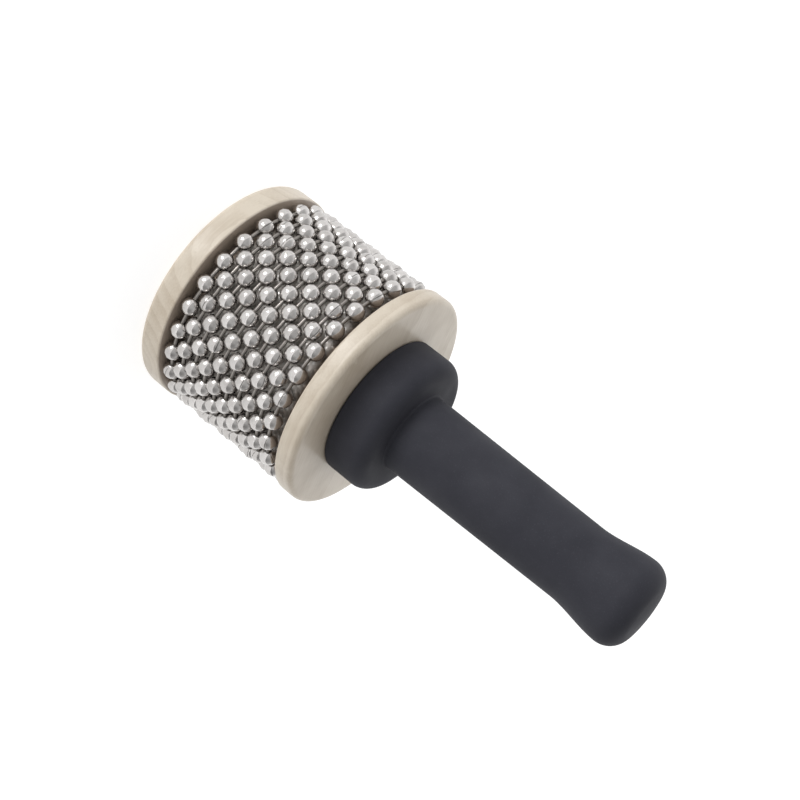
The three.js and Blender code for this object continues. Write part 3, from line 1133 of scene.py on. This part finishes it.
@dataclass
class Fasteners:
    """The through bolt with its washers and nut, and the two dowels."""

    zinc: ZincPlate
    bolt_radius: float = 4.0
    across_flats: float = 13.0
    head_height: float = 5.3
    thread_pitch: float = 1.25
    thread_depth: float = 0.45
    thread_length: float = 26.0
    sides: int = 96

    def hexed(self, profile: np.ndarray) -> np.ndarray:
        """Turns a profile and clips it to a hexagon: each radius is the smaller of the two.

        Args:
            profile: Rows of radius and height.

        Returns:
            Points by row, step round the axis, and coordinate.
        """
        points = revolve(profile, self.sides)
        angle = around(self.sides)[None, :]
        reach = np.minimum(profile[:, :1], hexagon_reach(angle, self.across_flats))
        points[..., 0], points[..., 1] = reach * np.cos(angle), reach * np.sin(angle)
        return points

    def hex_line(self, low: float, high: float, chamfer_low: bool, chamfer_high: bool) -> list[np.ndarray]:
        """The outside of a hexagon with turned corners, as rows of radius and height.

        Args:
            low: Its lower face.
            high: Its upper face.
            chamfer_low: Whether the lower corners are turned off.
            chamfer_high: Whether the upper corners are turned off.

        Returns:
            Stretches of the line, from the lower face to the upper one.
        """
        corner = self.across_flats / math.sqrt(3)
        face = self.across_flats / 2 * 0.95
        drop = (corner - face) * math.tan(math.radians(30))
        share = np.linspace(0, 1, 7)[:, None]
        below = np.array([[face, low]]) + share * np.array([[corner - face, drop]])
        above = np.array([[corner, high - drop]]) + share * np.array([[face - corner, drop]])
        lower = below if chamfer_low else np.array([[corner, low]])
        upper = above if chamfer_high else np.array([[corner, high]])
        return [lower, upper]

    def bolt(self, finish: bpy.types.Material) -> bpy.types.Object:
        """A hexagon-headed bolt: chamfered head, plain shank, and a thread that winds up its end.

        The thread's depth at height z and angle t is a triangle wave of z / pitch - t / full turn.

        Args:
            finish: Its plating.

        Returns:
            The bolt.
        """
        span = Span.of("through_bolt")
        under = span.bottom + self.head_height
        start, end = span.top - self.thread_length, span.top
        lower, upper = self.hex_line(span.bottom, under, True, False)
        head = [np.array([[0.0, span.bottom]]), lower, upper]
        neck = np.array([[self.bolt_radius + 0.3, under], [self.bolt_radius, under + 0.3]])
        shank = np.stack([np.full(8, self.bolt_radius), np.linspace(under + 1, start - 1, 8)], 1)
        height = np.arange(start, end - 0.6, self.thread_pitch / 8)
        thread = np.stack([np.full(len(height), self.bolt_radius), height], 1)
        tip = np.array([[self.bolt_radius - 1.0, end], [0.0, end]])
        line = np.concatenate([*head, neck, shank, thread, tip])
        points = self.hexed(line)
        wave = (points[..., 2] / self.thread_pitch - around(self.sides)[None, :] / (2 * np.pi)) % 1.0
        depth = self.thread_depth * np.abs(2 * wave - 1)
        fade = np.clip((line[:, 1:] - start) / 2, 0, 1) * (line[:, :1] == self.bolt_radius)
        reach = 1 - depth * fade / self.bolt_radius
        points[..., :2] *= reach[..., None]
        mesh = new_mesh("hex_bolt", points, grid_faces(len(line), self.sides, False))
        return add_piece(mesh, finish, HANDLE_BODY, "through_bolt")

    def nut(self, finish: bpy.types.Material) -> bpy.types.Object:
        """A hexagon nut, chamfered on both faces, with a countersunk hole.

        Args:
            finish: Its plating.

        Returns:
            The nut.
        """
        span = Span.of("captive_nut")
        hole, sink = self.bolt_radius + FIT_GAP, 0.4
        lower, upper = self.hex_line(span.bottom, span.top, True, True)
        bore = np.array(
            [
                [hole + sink, span.top],
                [hole, span.top - sink],
                [hole, span.bottom + sink],
                [hole + sink, span.bottom],
            ]
        )
        line = np.concatenate([lower, upper, bore])
        mesh = new_mesh("hex_nut", self.hexed(line), grid_faces(len(line), self.sides, True))
        return add_piece(mesh, finish, HANDLE_BODY, "captive_nut")

    def plain_washer(self, finish: bpy.types.Material) -> bpy.types.Object:
        """A flat washer with eased rims.

        Args:
            finish: Its plating.

        Returns:
            The washer.
        """
        span, hole, ease = Span.of("plain_washer"), self.bolt_radius + FIT_GAP, 0.25
        line = Profile(hole, span.bottom + ease).line(hole + ease, span.bottom)
        line.line(span.radius - ease, span.bottom).line(span.radius, span.bottom + ease)
        line.line(span.radius, span.top - ease).line(span.radius - ease, span.top)
        line.line(hole + ease, span.top).line(hole, span.top - ease)
        mesh = turned_piece("flat_washer", line.array(), self.sides)
        return add_piece(mesh, finish, HANDLE_BODY, "plain_washer")

    def spring_washer(self, finish: bpy.types.Material) -> bpy.types.Object:
        """A split washer: a square section carried round to its slit, climbing a little on the way.

        Args:
            finish: Its plating.

        Returns:
            The washer.
        """
        span, hole = Span.of("spring_washer"), self.bolt_radius + FIT_GAP
        ease, climb, half_slit = 0.2, 0.25, 7
        top = span.top - climb
        section = np.array(
            [
                [hole, span.bottom + ease],
                [hole + ease, span.bottom],
                [span.radius - ease, span.bottom],
                [span.radius, span.bottom + ease],
                [span.radius, top - ease],
                [span.radius - ease, top],
                [hole + ease, top],
                [hole, top - ease],
            ]
        )
        angle = np.radians(np.linspace(half_slit, 360 - half_slit, self.sides))[:, None]
        rise = climb * (angle - angle[0]) / (angle[-1] - angle[0])
        radius, height = section[None, :, 0], section[None, :, 1]
        points = np.stack([radius * np.cos(angle), radius * np.sin(angle), height + rise], -1)
        count = len(section)
        faces = grid_faces(self.sides, count, False)
        faces += [list(range(count)), list(range((self.sides - 1) * count, self.sides * count))]
        mesh = new_mesh("split_washer", points, faces)
        return add_piece(mesh, finish, HANDLE_BODY, "spring_washer")

    def dowel(self, number: int, finish: bpy.types.Material) -> bpy.types.Object:
        """A ground dowel with chamfered ends.

        Args:
            number: 1 or 2.
            finish: Its plating.

        Returns:
            The dowel.
        """
        node = f"dowel_pin_{number}"
        low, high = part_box(node)
        radius, ease = (high.x - low.x) / 2 / MM, 0.6
        bottom, top = low.z / MM, high.z / MM
        line = Profile(0, bottom).line(radius - ease, bottom).line(radius, bottom + ease)
        line.line(radius, top - ease, 2).line(radius - ease, top).line(0, top)
        mesh = turned_piece(f"ground_dowel_{number}", line.array(), 48)
        mesh.transform(Matrix.Translation(((low.x + high.x) / 2, 0, 0)))
        return add_piece(mesh, finish, HANDLE_BODY, node)

    def build(self) -> None:
        """Makes every fastener."""
        plating = self.zinc.material()
        self.bolt(plating)
        self.nut(plating)
        self.plain_washer(plating)
        self.spring_washer(plating)
        for number in (1, 2):
            self.dowel(number, plating)


# ---- The studio ----


@dataclass
class Camera:
    """A camera that looks at a point on the object's axis from a distance, rolled about its view."""

    lens: float = 67.5
    sensor: float = 36.0
    distance: float = 599.5
    elevation: float = 20.0
    roll: float = 128.19
    look_height: float = 91.7
    look_aside: float = -6.9

    def build(self) -> bpy.types.Object:
        """Places the camera: it is tilted and rolled, then moved back from the point that it looks at.

        Returns:
            The camera.
        """
        data = bpy.data.cameras.new("camera")
        data.lens, data.sensor_width = self.lens, self.sensor
        camera = bpy.data.objects.new("camera", data)
        bpy.context.scene.collection.objects.link(camera)
        tilt = Matrix.Rotation(math.radians(90 - self.elevation), 4, "X")
        roll = Matrix.Rotation(math.radians(self.roll), 4, "Z")
        aim = Vector((self.look_aside * MM, 0, self.look_height * MM))
        back = tilt @ Vector((0, 0, self.distance * MM))
        camera.matrix_world = Matrix.Translation(aim + back) @ tilt @ roll
        bpy.context.scene.camera = camera
        return camera


@dataclass(frozen=True)
class Lamp:
    """A wide soft lamp, far off: the direction it comes from, its strength and how wide it looks."""

    name: str
    azimuth: float
    elevation: float
    strength: float
    width: float
    colour: tuple[float, float, float] = (1.0, 1.0, 1.0)

    def build(self) -> None:
        """Hangs the lamp. Azimuth 0 comes from -Y, and 90 from +X."""
        data = bpy.data.lights.new(self.name, "SUN")
        data.energy, data.angle, data.color = self.strength, math.radians(self.width), self.colour
        data.cycles.use_multiple_importance_sampling = False
        lamp = bpy.data.objects.new(self.name, data)
        bpy.context.scene.collection.objects.link(lamp)
        lamp.rotation_euler = Euler((math.radians(90 - self.elevation), 0, math.radians(self.azimuth)))


@dataclass
class Studio:
    """A pale translucent table that glows and is lit through from below, under a soft uneven sky."""

    floor_radius: float = 5.0
    sweep: float = 1.0
    floor_colour: tuple[float, float, float] = (0.5, 0.5, 0.5)
    floor_glow: float = 0.7
    horizon: float = 1.45
    zenith: float = 1.3
    front: float = 0.42
    right: float = 0.5
    lamps: tuple[Lamp, ...] = (
        Lamp("under", azimuth=-20, elevation=-24, strength=1.3, width=26),
    )

    def floor(self) -> None:
        """Lays a round floor under the drum, which sweeps up at its rim and lets the lamp shine through."""
        line = Profile(0.0, -0.2).line(self.floor_radius / MM, -0.2, 4)
        line.arc(self.floor_radius / MM, self.sweep / MM - 0.2, self.sweep / MM, -90, -10, 12)
        points = line.array()
        mesh = new_mesh("floor", revolve(points, 64), grid_faces(len(points), 64, False))
        g = Graph("floor_paper")
        shade = g.noise(g.place, 3.0, 2, 0.5)
        pale = tuple(0.98 * part for part in self.floor_colour)
        colour = g.mix(shade, self.floor_colour, pale)
        g.dress(Base_Color=colour, Roughness=0.9, Specular_IOR_Level=0.2)
        g.dress(Emission_Color=(1, 1, 1), Emission_Strength=self.floor_glow)
        mesh.materials.append(g.material)
        floor = bpy.data.objects.new("floor", mesh)
        bpy.context.scene.collection.objects.link(floor)
        floor.visible_shadow = False

    def sky(self) -> None:
        """Sets a sky that is bright behind the drum, dimmer at the right and in front, and dark below."""
        world = bpy.data.worlds.new("studio")
        world.use_nodes = True
        tree = world.node_tree
        towards = tree.nodes.new("ShaderNodeTexCoord").outputs["Generated"]
        apart = tree.nodes.new("ShaderNodeSeparateXYZ")
        tree.links.new(towards, apart.inputs[0])
        light = self.ramp(tree, apart.outputs["Z"], (0.35, 0.85), (self.horizon, self.zenith))
        depth = self.ramp(tree, apart.outputs["Y"], (-0.5, 0.9), (self.front, 1.0))
        side = self.ramp(tree, apart.outputs["X"], (0.1, 0.9), (1.0, self.right))
        above = self.ramp(tree, apart.outputs["Z"], (-0.02, -0.01), (0.0, 1.0))
        for share in (depth, side, above):
            product = tree.nodes.new("ShaderNodeMath")
            product.operation = "MULTIPLY"
            tree.links.new(light, product.inputs[0])
            tree.links.new(share, product.inputs[1])
            light = product.outputs[0]
        background = tree.nodes["Background"]
        background.inputs["Color"].default_value = (1, 1, 1, 1)
        tree.links.new(light, background.inputs["Strength"])
        bpy.context.scene.world = world

    def ramp(
        self,
        tree: bpy.types.NodeTree,
        value: Socket,
        reach: tuple[float, float],
        ends: tuple[float, float],
    ) -> Socket:
        """A smooth step of a value.

        Args:
            tree: The sky's node tree.
            value: The value that it follows.
            reach: Where the step starts and stops.
            ends: What it gives there.

        Returns:
            The stepped value.
        """
        made = tree.nodes.new("ShaderNodeMapRange")
        made.interpolation_type = "SMOOTHSTEP"
        tree.links.new(value, made.inputs["Value"])
        for key, number in zip(("From Min", "From Max", "To Min", "To Max"), (*reach, *ends)):
            made.inputs[key].default_value = number
        return made.outputs[0]

    def build(self) -> None:
        """Sets the sky, the floor, the lamps and how light becomes colour."""
        bpy.context.scene.view_settings.view_transform = "Standard"
        self.sky()
        self.floor()
        for lamp in self.lamps:
            lamp.build()


def main() -> None:
    """Builds the studio and every sub-assembly, in order."""
    logging.basicConfig(level=logging.INFO, format="%(name)s: %(message)s")
    Studio().build()
    Camera().build()
    EndDisc(DiscSide.FAR, PaleWood("far_disc_wood", turn=20.0)).build()
    EndDisc(DiscSide.NEAR, PaleWood("near_disc_wood", turn=-35.0, shift=(0.13, 0.02, 0.4))).build()
    drum = Drum(DrumBoard(), RaspSteel())
    drum.tube()
    drum.sheet()
    BeadLoops(BeadSteel()).build()
    Handle(SoftBlack(), CorePlastic()).build()
    Fasteners(ZincPlate()).build()


if __name__ == "__main__":
    main()
